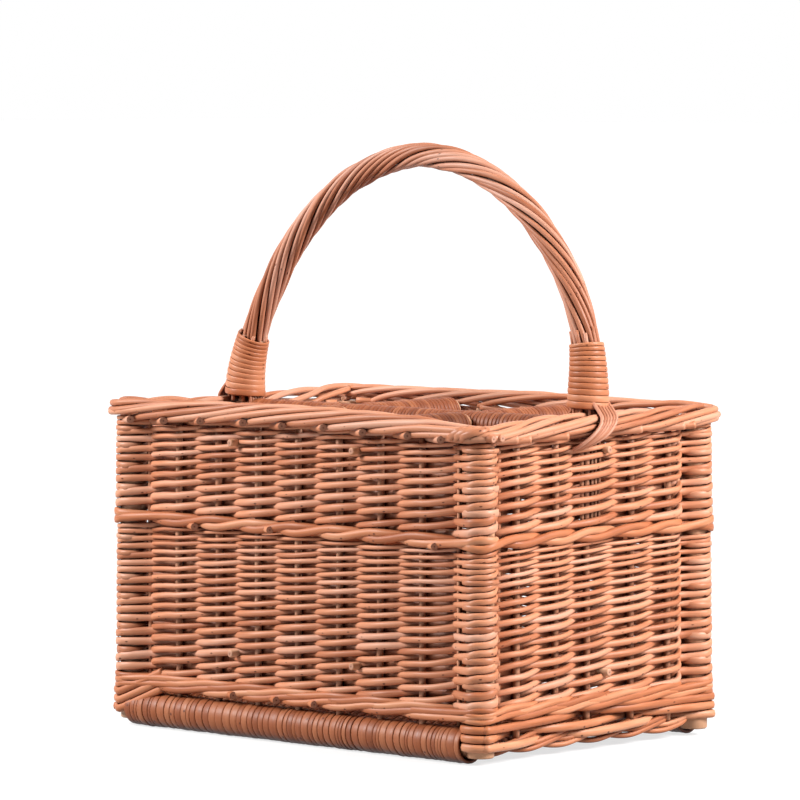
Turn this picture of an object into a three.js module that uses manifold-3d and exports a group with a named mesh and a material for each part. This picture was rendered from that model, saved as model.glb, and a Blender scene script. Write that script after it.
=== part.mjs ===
// Bottle carrier basket of peeled willow: six square cells under a fixed roped handle.
// Four corner posts and a ring of stakes carry the woven courses. Two wound runners lift the base.
// Millimetres, +Z up, origin on the ground under the middle. The long front faces -Y.

import * as THREE from "three";
import { mergeVertices } from "three/addons/utils/BufferGeometryUtils.js";
import Module from "manifold-3d";

// Overall sizes
const bodyLength = 360;        // over the weave where it rounds the corner posts
const bodyWidth = 250;
const rimHeight = 232;         // top of the border above the ground
const clearance = 0.3;         // gap between pieces that touch

// Corner posts
const postDiameter = 19;
const postWrap = 3.6;          // weave round the outside of a post
const footHeight = 4.8;        // sawn foot of a post above the ground

// Stakes
const stakeDiameter = 4.4;
const stakeSetOut = 3;         // stake line outside the line of the post centres
const frontStakeMargin = 49.9; // from the centre of a post to the next stake of a long wall
const frontStakesEachSide = 3; // beside the middle stake of a long wall
const endStakeMargin = 32.6;   // from the centre of a post to the next stake of an end wall
const endStakesEachSide = 2;   // beside the middle stake of an end wall
const middleStakeShift = 7;    // an end's middle stake stands beside the handle's leg

// Woven courses
const wallThickness = 12.4;
const waleProud = 1;           // a wale stands out from the siding
const bottomWaleDepth = 11;
const middleWaleBottom = 144.5;
const middleWaleDepth = 10;
const lowerStrokeCount = 15;   // rods in front of each stake, one above another
const upperStrokeCount = 8;
const strokeTaper = 0.6;       // top stroke against the bottom one: the rods thin to their tips
const strokeBacking = 0.9;     // weave over a stake between two strokes
const crossingThickness = 5.2; // weave between two stakes, where the rods cross

// Border
const borderDepth = 11;
const borderOverhang = 3;      // beyond the weave round the posts
const borderInset = 2;         // inside the inner face of the wall
const borderRounding = 3;

// Runners under the base
const runnerCoreDiameter = 18.8;
const runnerSetOut = 2;        // outside the line of the post centres
const runnerStrip = 2;         // thickness of the wound strip
const runnerLoops = 20;
const runnerFlat = 0.5;        // depth of the flat that the runner stands on
const tenonDiameter = 8;
const tenonLength = 7;

// Base
const baseThickness = 10;      // over a stick and the rods that are woven round it
const baseStickCount = 7;
const baseStickMargin = 9;     // from the edge of the base to its first stick
const baseRodThickness = 4.4;  // between two sticks
const baseEdgeThickness = 10;
const scallopDepth = 7;
const scallops = 4;

// Dividers
const dividerCoreDiameter = 18;
const dividerStrip = 1.6;
const dividerDrop = 3.5;       // top of the wound rails below the rim
const longRailLoops = 20;
const crossRailLoops = 7;
const pegDiameter = 5.2;
const pegReach = 3;            // beyond the outer face of the wall
const crossPegDrop = 6.2;      // below the axis of the rail
const longPegDrop = 4.5;
const lowerGridHeight = 53.5;  // axis of the lower long stick
const lowerStickDiameter = 5.2;

// Handle
const handleHeight = 407;      // centre line of the arch at the top
const legLetIn = 2.6;          // centre of a leg outside the inner face of the end wall
const archPower = 1.88;        // exponent of the arch, 2 being an ellipse
const handleLean = 13.5;       // lean of the arch to the right
const leanRise = 0.36;         // share of the rise with half of that lean
const bowDiameter = 8;
const ropeDiameter = 17.8;
const bindingLoops = 11;
const bindingPitch = 4.3;
const bindingStripWidth = 3.2;
const bindingStrip = 1.6;
const tailWidth = 14;
const tailThickness = 2.5;
const tailDrop = 16;           // tail below the border
const tailSlant = 13;          // sideways to its lower end

// Facets of round pieces
const stripGap = 0.8;          // between the loops of a wound rail
const windingSteps = 8;
const postSides = 12;
const cornerSteps = 8;         // round the outside of a corner
const stickSides = 6;
const archSteps = 32;

// Places worked out from the sizes above
const postRadius = postDiameter / 2;
const wrapRadius = postRadius + clearance + postWrap;
const postX = bodyLength / 2 - wrapRadius;
const postY = bodyWidth / 2 - wrapRadius;
const wallOut = stakeSetOut + wallThickness / 2;
const wallIn = wallThickness / 2 - stakeSetOut;
const stakeX = postX + stakeSetOut;
const stakeY = postY + stakeSetOut;
const frontStakePitch = (postX - frontStakeMargin) / frontStakesEachSide;
const endStakePitch = (postY - endStakeMargin) / endStakesEachSide;
const borderOut = wrapRadius + borderOverhang;
const borderBottom = rimHeight - borderDepth;
const wallTop = borderBottom - clearance;
const flatShare = Math.cos(Math.PI / windingSteps);

const runnerRoll = rollRadius(runnerCoreDiameter, runnerStrip);
const runnerZ = runnerRoll * flatShare - runnerFlat;
const runnerY = postY + runnerSetOut;
const runnerEnd = postX - postRadius - clearance;
const wallBottom = runnerZ + runnerRoll * flatShare + clearance;

const dividerRoll = rollRadius(dividerCoreDiameter, dividerStrip);
const dividerZ = rimHeight - dividerDrop - dividerRoll * flatShare;
const longRailEnd = postX - wallIn - borderInset - clearance;
const crossRailEnd = postY - wallIn - borderInset - clearance;
const longPegShift = bowDiameter / 2 + pegDiameter / 2 + 2 * clearance;
const lowerCrossHeight = lowerGridHeight + lowerStickDiameter + clearance;
const crossRailX = 1.5 * frontStakePitch;
const handleHalfSpan = postX - wallIn + legLetIn;
const bowFoot = middleWaleBottom + middleWaleDepth + clearance;

// Colours of the peeled willow
const willow = {
  post: paint(0xcf9570, 0.55),
  stake: paint(0xb87a5c, 0.6),
  siding: paint(0xb57d5e, 0.6),
  wale: paint(0xa66f50, 0.6),
  border: paint(0xcf9275, 0.5),
  strip: paint(0xbd7c5b, 0.45),
  core: paint(0xc78f6c, 0.6),
  handle: paint(0xcd927a, 0.45),
};

function paint(color, roughness) {
  return new THREE.MeshStandardMaterial({ color, roughness, metalness: 0 });
}

// Outer radius of a core that is wound with a strip, at the corners of its facets
function rollRadius(coreDiameter, strip) {
  return coreDiameter / 2 + clearance / Math.cos(Math.PI / windingSteps) + strip;
}

const basket = new THREE.Group();

function place(name, geometry, material) {
  const mesh = new THREE.Mesh(geometry, material);
  mesh.name = name;
  basket.add(mesh);
}

// Joining and cutting of closed meshes
const wasm = await Module();
wasm.setup();

function solidOf(geometry) {
  const bare = geometry.clone();
  bare.deleteAttribute("normal");
  bare.deleteAttribute("uv");
  const merged = mergeVertices(bare, 1e-4);
  const mesh = new wasm.Mesh({
    numProp: 3,
    vertProperties: new Float32Array(merged.attributes.position.array),
    triVerts: new Uint32Array(merged.index.array),
  });
  return new wasm.Manifold(mesh);
}

function geometryOf(solid) {
  const mesh = solid.getMesh();
  const geometry = new THREE.BufferGeometry();
  geometry.setAttribute("position", new THREE.BufferAttribute(mesh.vertProperties, 3));
  geometry.setIndex(new THREE.BufferAttribute(mesh.triVerts, 1));
  geometry.computeVertexNormals();
  return geometry;
}

function cut(geometry, tools) {
  const rest = tools.reduce((solid, tool) => solid.subtract(solidOf(tool)), solidOf(geometry));
  return geometryOf(rest);
}

function join(geometry, others) {
  const whole = others.reduce((solid, other) => solid.add(solidOf(other)), solidOf(geometry));
  return geometryOf(whole);
}

// A straight stick with flat ends. The facets of sticks along one axis line up with each other.
function stick(from, to, radius, sides, turn = 0) {
  const start = new THREE.Vector3(...from);
  const end = new THREE.Vector3(...to);
  const geometry = new THREE.CylinderGeometry(radius, radius, start.distanceTo(end), sides);
  geometry.rotateY(turn);
  const along = end.clone().sub(start).normalize();
  const lie = new THREE.Quaternion().setFromUnitVectors(new THREE.Vector3(0, 1, 0), along);
  geometry.applyQuaternion(lie);
  const middle = start.add(end).multiplyScalar(0.5);
  geometry.translate(middle.x, middle.y, middle.z);
  return geometry;
}

// Radius of a faceted hole that leaves the clearance all round a stick of the same facets
function holeRadius(radius, sides) {
  return radius + clearance / Math.cos(Math.PI / sides);
}

// Corner posts: round sticks on sawn feet, each with a mortise for the tenon of its runner
const cornerNames = { "1,1": "back_right", "-1,1": "back_left", "-1,-1": "front_left", "1,-1": "front_right" };
const corners = [[1, 1], [-1, 1], [-1, -1], [1, -1]];
const mortiseRadius = holeRadius(tenonDiameter / 2, stickSides);
const mortiseEnd = runnerEnd + clearance + tenonLength + clearance;
for (const [sx, sy] of corners) {
  const x = sx * postX;
  const y = sy * postY;
  const post = stick([x, y, footHeight], [x, y, wallTop], postRadius, postSides);
  const mouth = [sx * (runnerEnd - postRadius), sy * runnerY, runnerZ];
  const mortise = stick(mouth, [sx * mortiseEnd, sy * runnerY, runnerZ], mortiseRadius, stickSides);
  place("corner_post_" + cornerNames[[sx, sy]], cut(post, [mortise]), willow.post);
}

// Stakes: upright rods between the posts, from the base to the border
const stakes = [];
for (let k = -frontStakesEachSide; k <= frontStakesEachSide; k++) {
  const number = k + frontStakesEachSide + 1;
  stakes.push({ name: "stake_front_" + number, x: k * frontStakePitch, y: -stakeY });
  stakes.push({ name: "stake_back_" + number, x: k * frontStakePitch, y: stakeY });
}
for (let k = -endStakesEachSide; k <= endStakesEachSide; k++) {
  const number = k + endStakesEachSide + 1;
  const y = k === 0 ? -middleStakeShift : k * endStakePitch;
  stakes.push({ name: "stake_left_" + number, x: -stakeX, y });
  stakes.push({ name: "stake_right_" + number, x: stakeX, y });
}
for (const { name, x, y } of stakes) {
  place(name, stick([x, y, wallBottom], [x, y, wallTop], stakeDiameter / 2, stickSides), willow.stake);
}

// Points of an arc about a centre, angles in radians
function arc(centreX, centreY, radius, from, to, steps) {
  const points = [];
  for (let i = 0; i <= steps; i++) {
    const angle = from + ((to - from) * i) / steps;
    points.push(new THREE.Vector2(centreX + radius * Math.cos(angle), centreY + radius * Math.sin(angle)));
  }
  return points;
}

// Outline that runs straight along the walls and swells round the posts
function outerOutline(wallOffset, postOffset) {
  const meet = Math.acos(wallOffset / postOffset);
  return corners.flatMap(([sx, sy], k) => {
    const turn = (k * Math.PI) / 2;
    return arc(sx * postX, sy * postY, postOffset, turn - meet, turn + Math.PI / 2 + meet, cornerSteps);
  });
}

// Wall after a corner, going round: the places of its stakes along it, the middles between them where the
// rods cross, and the point at a place along it and outside the line of the stakes
function wallAfter(k) {
  const [sx, sy] = corners[k];
  const out = new THREE.Vector2(sx * (k % 2), sy * ((k + 1) % 2));
  const ahead = new THREE.Vector2(-out.y, out.x);
  const line = k % 2 === 0 ? stakeY : stakeX;
  const end = (k % 2 === 0 ? postX : postY) - Math.sqrt(wrapRadius ** 2 - wallOut ** 2);
  const wallStakes = stakes.filter(({ x, y }) => Math.abs(out.x * x + out.y * y - line) < clearance);
  const places = wallStakes.map(({ x, y }) => ahead.x * x + ahead.y * y).sort((a, b) => a - b);
  const stops = [-end, ...places, end];
  const crossings = stops.slice(1).map((stop, i) => (stop + stops[i]) / 2);
  const pointAt = (along, offset) => ahead.clone().multiplyScalar(along).addScaledVector(out, line + offset);
  return { places, crossings, pointAt };
}

// Inner face of a woven wall: it stands in behind each stake and sinks to the crossings on both sides
function innerStrokes(k) {
  const { places, crossings, pointAt } = wallAfter(k);
  const hollows = crossings.map((along) => ({ along, point: pointAt(along, -crossingThickness / 2) }));
  const backs = places.map((along) => ({ along, point: pointAt(along, -wallThickness / 2) }));
  return [...hollows, ...backs].sort((a, b) => a.along - b.along);
}

// Inner face of the walls, open round the posts and, near the top, round the legs of the handle
function innerOutline(withHandleLegs, woven) {
  const biteSteps = 14;
  const bite = (postRadius + clearance) / Math.cos(Math.PI / biteSteps);
  const postMeet = Math.acos(wallIn / bite);
  const leg = holeRadius(bowDiameter / 2, windingSteps);
  const legMeet = Math.acos(-legLetIn / leg);
  return corners.flatMap(([sx, sy], k) => {
    const turn = (k * Math.PI) / 2;
    const from = turn - Math.PI + postMeet;
    const to = turn + 1.5 * Math.PI - postMeet;
    const face = woven ? innerStrokes((k + corners.length - 1) % corners.length) : [];
    const before = face.filter(({ along }) => along < 0).map(({ point }) => point);
    const after = face.filter(({ along }) => along >= 0).map(({ point }) => point);
    const hasLeg = withHandleLegs && k % 2 === 0;
    const legArc = arc(sx * handleHalfSpan, 0, leg, turn - legMeet, turn + legMeet, windingSteps);
    const postArc = arc(sx * postX, sy * postY, bite, from, to, biteSteps);
    return [...before, ...(hasLeg ? legArc : []), ...after, ...postArc];
  });
}

function ringShape(outer, inner, stakeHoles) {
  const shape = new THREE.Shape(outer);
  shape.holes.push(new THREE.Path(inner));
  if (stakeHoles) {
    const radius = holeRadius(stakeDiameter / 2, stickSides);
    for (const { x, y } of stakes) {
      const hole = arc(x, y, radius, Math.PI / 2, 2.5 * Math.PI, stickSides);
      shape.holes.push(new THREE.Path(hole.slice(0, stickSides)));
    }
  }
  return shape;
}

// One woven course: a ring about the stakes and the outside of the posts
function course(bottom, top, inner) {
  const outer = outerOutline(wallOut + waleProud, wrapRadius + waleProud);
  const shape = ringShape(outer, inner, true);
  const geometry = new THREE.ExtrudeGeometry(shape, { depth: top - bottom, bevelEnabled: false });
  geometry.translate(0, 0, bottom);
  return geometry;
}

// Heights of the hollows between the strokes of a course
function hollowHeights(bottom, top, strokes) {
  const heights = [0];
  for (let i = 0; i < strokes; i++) {
    heights.push(heights[i] + 1 - ((1 - strokeTaper) * i) / (strokes - 1));
  }
  return heights.map((height) => bottom + ((top - bottom) * height) / heights[strokes]);
}

// Body with the outer face of a siding. In front of a stake each rod stands out as a stroke that leans up to
// the right. Between two stakes the rods cross in the middle of the wall. Round the posts they lie smooth.
function wovenBody(bottom, top, strokes) {
  const hollows = hollowHeights(bottom, top, strokes);
  const crests = hollows.slice(1).map((height, i) => (height + hollows[i]) / 2);
  const hollowOut = holeRadius(stakeDiameter / 2, stickSides) + strokeBacking;
  const outer = outerOutline(wallOut, wrapRadius);
  const points = [];
  const faces = [];
  const ring = [];

  function column({ x, y }, heights) {
    const first = points.length / 3;
    heights.forEach((height) => points.push(x, y, height));
    return heights.map((_, i) => first + i);
  }

  function plain(left, right) {
    for (let i = 1; i < right.length; i++) {
      faces.push(left[0], right[i - 1], right[i]);
    }
    for (let i = 1; i < left.length; i++) {
      faces.push(left[i - 1], right[right.length - 1], left[i]);
    }
  }

  function stroked(left, hollow, crest, right) {
    crest.forEach((peak, i) => {
      const foot = left[i];
      const head = right[i + 1];
      faces.push(foot, hollow[i], peak, foot, peak, hollow[i + 1], foot, hollow[i + 1], left[i + 1]);
      faces.push(hollow[i], right[i], head, hollow[i], head, peak, peak, head, hollow[i + 1]);
    });
  }

  corners.forEach((_, k) => {
    for (const { x, y } of outer.slice(k * (cornerSteps + 1), (k + 1) * (cornerSteps + 1))) {
      ring.push(column({ x, y }, [bottom, top]));
      if (ring.length > 1) {
        plain(ring[ring.length - 2], ring[ring.length - 1]);
      }
    }
    const { places, crossings, pointAt } = wallAfter(k);
    const sunk = crossings.map((along) => column(pointAt(along, crossingThickness / 2), hollows));
    plain(ring[ring.length - 1], sunk[0]);
    places.forEach((along, i) => {
      const hollow = column(pointAt(along, hollowOut), hollows);
      const crest = column(pointAt(along, wallThickness / 2), crests);
      stroked(sunk[i], hollow, crest, sunk[i + 1]);
      ring.push(sunk[i], hollow);
    });
    ring.push(sunk[places.length]);
  });
  plain(ring[ring.length - 1], ring[0]);

  const middle = new THREE.Vector2(0, 0);
  const [under] = column(middle, [bottom]);
  const [over] = column(middle, [top]);
  ring.forEach((left, i) => {
    const right = ring[(i + 1) % ring.length];
    faces.push(right[0], left[0], under, left[left.length - 1], right[right.length - 1], over);
  });
  const geometry = new THREE.BufferGeometry();
  geometry.setAttribute("position", new THREE.Float32BufferAttribute(points, 3));
  geometry.setIndex(faces);
  return geometry;
}

// A siding: a ring about the stakes and the posts, whose outer face shows the strokes of its rods
function siding(bottom, top, strokes, withHandleLegs) {
  const ring = solidOf(course(bottom, top, innerOutline(withHandleLegs, true)));
  return geometryOf(ring.intersect(solidOf(wovenBody(bottom - clearance, top + clearance, strokes))));
}

// Holes through two facing walls for a stick along X or along Y
function wallHoles(direction, shift, height, diameter) {
  const reach = direction === "x" ? postX : postY;
  const radius = holeRadius(diameter / 2, stickSides);
  return [-1, 1].map((side) => {
    const near = side * (reach - wallThickness);
    const far = side * (reach + wallThickness + pegReach);
    const from = direction === "x" ? [near, shift, height] : [shift, near, height];
    const to = direction === "x" ? [far, shift, height] : [shift, far, height];
    return stick(from, to, radius, stickSides);
  });
}

const bottomWaleTop = wallBottom + bottomWaleDepth;
const middleWaleTop = middleWaleBottom + middleWaleDepth;
const lowerHoles = [
  ...wallHoles("x", longPegShift, lowerGridHeight, lowerStickDiameter),
  ...wallHoles("y", -crossRailX, lowerCrossHeight, lowerStickDiameter),
  ...wallHoles("y", crossRailX, lowerCrossHeight, lowerStickDiameter),
];
const upperHoles = [
  ...wallHoles("x", longPegShift, dividerZ - longPegDrop, pegDiameter),
  ...wallHoles("y", -crossRailX, dividerZ - crossPegDrop, pegDiameter),
  ...wallHoles("y", crossRailX, dividerZ - crossPegDrop, pegDiameter),
];
const waleInner = innerOutline(false, false);
const lowerSiding = siding(bottomWaleTop + clearance, middleWaleBottom - clearance, lowerStrokeCount, false);
const upperSiding = siding(middleWaleTop + clearance, wallTop, upperStrokeCount, true);
place("bottom_wale", course(wallBottom, bottomWaleTop, waleInner), willow.wale);
place("lower_siding", cut(lowerSiding, lowerHoles), willow.siding);
place("middle_wale", course(middleWaleBottom, middleWaleTop, waleInner), willow.wale);
place("upper_siding", cut(upperSiding, upperHoles), willow.siding);

// Border: the stakes laid down in a rolled edge, let in for the legs of the handle
function border() {
  const outer = outerOutline(borderOut - borderRounding, borderOut - borderRounding);
  const insideX = postX - wallIn - borderInset + borderRounding;
  const insideY = postY - wallIn - borderInset + borderRounding;
  const inner = corners.map(([sx, sy]) => new THREE.Vector2(sx * insideX, sy * insideY));
  const geometry = new THREE.ExtrudeGeometry(ringShape(outer, inner, false), {
    depth: borderDepth - 2 * borderRounding,
    bevelThickness: borderRounding,
    bevelSize: borderRounding,
    bevelSegments: 2,
  });
  geometry.translate(0, 0, borderBottom + borderRounding);
  const legRadius = holeRadius(bowDiameter / 2, windingSteps);
  const legs = [-1, 1].map((side) => {
    const x = side * handleHalfSpan;
    return stick([x, 0, borderBottom - clearance], [x, 0, rimHeight + clearance], legRadius, windingSteps);
  });
  return cut(geometry, legs);
}
place("rim_border", border(), willow.border);

// A band through a row of frames: a rectangle at each frame, wide along side and thick along out
function band(frames, width, thickness) {
  const positions = [];
  for (const { point, side, out } of frames) {
    for (const [w, t] of [[-1, -1], [1, -1], [1, 1], [-1, 1]]) {
      const corner = point.clone().addScaledVector(side, (w * width) / 2);
      corner.addScaledVector(out, (t * thickness) / 2);
      positions.push(corner.x, corner.y, corner.z);
    }
  }
  const last = 4 * (frames.length - 1);
  const triangles = [[0, 2, 1], [0, 3, 2], [last, last + 1, last + 2], [last, last + 2, last + 3]];
  for (let i = 0; i < frames.length - 1; i++) {
    for (let k = 0; k < 4; k++) {
      const a = 4 * i + k;
      const b = 4 * i + ((k + 1) % 4);
      triangles.push([a, b, a + 4], [b, b + 4, a + 4]);
    }
  }
  const forward = frames[1].point.clone().sub(frames[0].point);
  const rightHanded = frames[0].side.clone().cross(frames[0].out).dot(forward) > 0;
  const index = rightHanded ? triangles.flat() : triangles.flatMap(([a, b, c]) => [a, c, b]);
  const geometry = new THREE.BufferGeometry();
  geometry.setAttribute("position", new THREE.Float32BufferAttribute(positions, 3));
  geometry.setIndex(index);
  geometry.computeVertexNormals();
  return geometry;
}

// Least distance between the corners of a wound band and those of its neighbouring loops
function leastGap(geometry, loopSteps) {
  const position = geometry.attributes.position;
  const a = new THREE.Vector3();
  const b = new THREE.Vector3();
  let gap = Infinity;
  for (let i = 0; i < position.count; i++) {
    a.fromBufferAttribute(position, i);
    const firstStep = Math.floor(i / 4) + Math.ceil(loopSteps / 2);
    const lastStep = firstStep + loopSteps;
    for (let j = 4 * firstStep; j < Math.min(position.count, 4 * lastStep); j++) {
      gap = Math.min(gap, a.distanceTo(b.fromBufferAttribute(position, j)));
    }
  }
  return gap;
}

// A strip wound in one unbroken helix. axisAt gives the frame of the wound core at a distance along it.
function winding(name, axisAt, { loops, start, pitch, width, innerRadius, strip }) {
  const frames = [];
  for (let i = 0; i <= loops * windingSteps; i++) {
    const angle = (2 * Math.PI * (i + 0.5)) / windingSteps;
    const { point, along, across, up } = axisAt(start + (pitch * i) / windingSteps);
    const out = across.clone().multiplyScalar(Math.cos(angle)).addScaledVector(up, Math.sin(angle));
    frames.push({ point: point.clone().addScaledVector(out, innerRadius + strip / 2), side: along, out });
  }
  const geometry = band(frames, width, strip);
  console.log(`${name}: least gap to itself ${leastGap(geometry, windingSteps).toFixed(2)} mm`);
  return geometry;
}

// Frame along a straight rail from a point, in a level direction
function straightAxis(from, direction) {
  const along = new THREE.Vector3(...direction);
  const up = new THREE.Vector3(0, 0, 1);
  const across = new THREE.Vector3().crossVectors(up, along);
  const origin = new THREE.Vector3(...from);
  return (distance) => ({ point: origin.clone().addScaledVector(along, distance), along, across, up });
}

// The strip of a straight rail fills the length from its start to its end
function railWinding(name, from, direction, length, { coreDiameter, strip, loops }) {
  const pitch = (length - 2 * clearance + stripGap) / (loops + 1);
  const width = pitch - stripGap;
  return winding(name, straightAxis(from, direction), {
    loops,
    start: clearance + width / 2,
    pitch,
    width,
    innerRadius: holeRadius(coreDiameter / 2, windingSteps),
    strip,
  });
}

function core(from, to, diameter) {
  return stick(from, to, diameter / 2, windingSteps, Math.PI / windingSteps);
}

// Runners: thick sticks between the posts, wound all along and worn flat where they stand
const ground = new THREE.BoxGeometry(2 * bodyLength, 2 * bodyWidth, runnerRoll);
ground.translate(0, 0, -runnerRoll / 2);
for (const [side, name] of [[-1, "front"], [1, "back"]]) {
  const y = side * runnerY;
  const tenonEnd = runnerEnd + clearance + tenonLength;
  const runner = core([-runnerEnd, y, runnerZ], [runnerEnd, y, runnerZ], runnerCoreDiameter);
  const tenons = stick([-tenonEnd, y, runnerZ], [tenonEnd, y, runnerZ], tenonDiameter / 2, stickSides);
  place("runner_" + name, join(runner, [tenons]), willow.core);
  const strip = railWinding("runner_winding_" + name, [-runnerEnd, y, runnerZ], [1, 0, 0], 2 * runnerEnd, {
    coreDiameter: runnerCoreDiameter,
    strip: runnerStrip,
    loops: runnerLoops,
  });
  place("runner_winding_" + name, cut(strip, [ground]), willow.strip);
}

// Base: a woven panel between the runners, with a scalloped edge under each end wall
const baseHalfLength = postX - wallIn - wallThickness / 4;
const baseHalfWidth = runnerY - runnerRoll * flatShare - clearance;
const baseStickPitch = (2 * (baseHalfWidth - baseStickMargin)) / (baseStickCount - 1);
const acrossX = new THREE.Matrix4().makeBasis(
  new THREE.Vector3(0, 1, 0),
  new THREE.Vector3(0, 0, 1),
  new THREE.Vector3(1, 0, 0),
);

// Section across the base: thick at each stick, thin between two sticks and at the edges
function baseSection() {
  const upper = [new THREE.Vector2(-baseHalfWidth, baseRodThickness / 2)];
  for (let i = 0; i < baseStickCount; i++) {
    const y = -baseHalfWidth + baseStickMargin + i * baseStickPitch;
    const next = Math.min(y + baseStickPitch / 2, baseHalfWidth);
    upper.push(new THREE.Vector2(y, baseThickness / 2), new THREE.Vector2(next, baseRodThickness / 2));
  }
  const lower = upper.map(({ x, y }) => new THREE.Vector2(x, -y)).reverse();
  return new THREE.Shape([...upper, ...lower]);
}
const baseLength = 2 * baseHalfLength;
const basePanel = new THREE.ExtrudeGeometry(baseSection(), { depth: baseLength, bevelEnabled: false });
basePanel.applyMatrix4(acrossX).translate(-baseHalfLength, 0, runnerZ);
place("base_panel", basePanel, willow.siding);

function scallopedEdge() {
  const halfLength = postY - postRadius - clearance;
  const steps = 8 * scallops;
  const shape = new THREE.Shape();
  shape.moveTo(halfLength, wallBottom - clearance);
  shape.lineTo(-halfLength, wallBottom - clearance);
  for (let i = 0; i <= steps; i++) {
    const share = i / steps;
    const drop = scallopDepth * Math.abs(Math.sin(Math.PI * scallops * share));
    shape.lineTo(halfLength * (2 * share - 1), footHeight + scallopDepth - drop);
  }
  const geometry = new THREE.ExtrudeGeometry(shape, { depth: baseEdgeThickness, bevelEnabled: false });
  return geometry.applyMatrix4(acrossX);
}
const edgeInner = baseHalfLength + clearance;
const rightEdge = scallopedEdge().translate(edgeInner, 0, 0);
const leftEdge = scallopedEdge().translate(-edgeInner - baseEdgeThickness, 0, 0);
place("base_edge_right", rightEdge, willow.wale);
place("base_edge_left", leftEdge, willow.wale);

// Upper dividers: one long wound rail, and cross rails that butt against it, pegged through the walls
const dividerWound = { coreDiameter: dividerCoreDiameter, strip: dividerStrip };
const pegRoot = dividerCoreDiameter / 4;
const longPegEnd = postX + wallOut + pegReach;
const longRail = core([-longRailEnd, 0, dividerZ], [longRailEnd, 0, dividerZ], dividerCoreDiameter);
const longPegs = [-1, 1].map((side) => {
  const z = dividerZ - longPegDrop;
  const root = [side * (longRailEnd - clearance), longPegShift, z];
  return stick(root, [side * longPegEnd, longPegShift, z], pegDiameter / 2, stickSides);
});
place("divider_long_rail", join(longRail, longPegs), willow.core);
const longStrip = railWinding("divider_long_winding", [-longRailEnd + pegRoot, 0, dividerZ], [1, 0, 0],
  2 * (longRailEnd - pegRoot), { ...dividerWound, loops: longRailLoops });
place("divider_long_winding", longStrip, willow.strip);

const crossRailStart = dividerRoll * flatShare + clearance;
const crossPegEnd = postY + wallOut + pegReach;
for (const [sx, sy] of corners) {
  const x = sx * crossRailX;
  const z = dividerZ - crossPegDrop;
  const rail = core([x, sy * crossRailStart, dividerZ], [x, sy * crossRailEnd, dividerZ], dividerCoreDiameter);
  const root = [x, sy * (crossRailEnd - pegRoot), z];
  const peg = stick(root, [x, sy * crossPegEnd, z], pegDiameter / 2, stickSides);
  place("divider_cross_rail_" + cornerNames[[sx, sy]], join(rail, [peg]), willow.core);
  const name = "divider_cross_winding_" + cornerNames[[sx, sy]];
  const strip = railWinding(name, [x, sy * crossRailStart, dividerZ], [0, sy, 0],
    crossRailEnd - pegRoot - crossRailStart, { ...dividerWound, loops: crossRailLoops });
  place(name, strip, willow.strip);
}

// Lower dividers: plain sticks through the walls, the cross sticks lying on the long one
const lowerStickRadius = lowerStickDiameter / 2;
const lowerLong = stick([-longPegEnd, longPegShift, lowerGridHeight], [longPegEnd, longPegShift, lowerGridHeight],
  lowerStickRadius, stickSides);
place("lower_divider_long", lowerLong, willow.stake);
for (const [side, name] of [[-1, "left"], [1, "right"]]) {
  const x = side * crossRailX;
  const cross = stick([x, -crossPegEnd, lowerCrossHeight], [x, crossPegEnd, lowerCrossHeight],
    lowerStickRadius, stickSides);
  place("lower_divider_cross_" + name, cross, willow.stake);
}

// Handle: a bow stick, its ends beside the middle end stakes, in a sleeve of twisted rods.
// The arch is |x/a|^n + |z/b|^n = 1 above its foot. It leans to the right, mostly in its lower third.
class Arch extends THREE.Curve {
  constructor(foot) {
    super();
    this.foot = foot;
  }
  getPoint(t, target = new THREE.Vector3()) {
    const angle = Math.PI * (1 - t);
    const rise = Math.pow(Math.sin(angle), 2 / archPower);
    const reach = Math.sign(Math.cos(angle)) * Math.pow(Math.abs(Math.cos(angle)), 2 / archPower);
    const lean = (handleLean * rise * rise) / (rise * rise + leanRise * leanRise);
    return target.set(handleHalfSpan * reach + lean, 0, this.foot + (handleHeight - this.foot) * rise);
  }
}

function circle(radius, sides) {
  return arc(0, 0, radius, 0, 2 * Math.PI, sides).slice(0, sides);
}

const handleFoot = rimHeight + 2 * clearance;
const arch = new Arch(handleFoot);
const leftFoot = new THREE.Vector3(-handleHalfSpan, 0, handleFoot);
const rightFoot = new THREE.Vector3(handleHalfSpan, 0, handleFoot);
const bowPath = new THREE.CurvePath();
bowPath.add(new THREE.LineCurve3(leftFoot.clone().setZ(bowFoot), leftFoot));
bowPath.add(arch);
bowPath.add(new THREE.LineCurve3(rightFoot, rightFoot.clone().setZ(bowFoot)));
const bowShape = new THREE.Shape(circle(bowDiameter / 2, windingSteps));
const bow = new THREE.ExtrudeGeometry(bowShape, { steps: archSteps + 8, extrudePath: bowPath });
place("handle_bow", bow, willow.core);

const ropeSides = 10;
const ropeShape = new THREE.Shape(circle(ropeDiameter / 2, ropeSides));
const ropeBore = (bowDiameter / 2 + 2 * clearance) / flatShare;
ropeShape.holes.push(new THREE.Path(circle(ropeBore, windingSteps)));
const rope = new THREE.ExtrudeGeometry(ropeShape, { steps: archSteps, extrudePath: arch });
place("handle_rope", rope, willow.handle);

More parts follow.
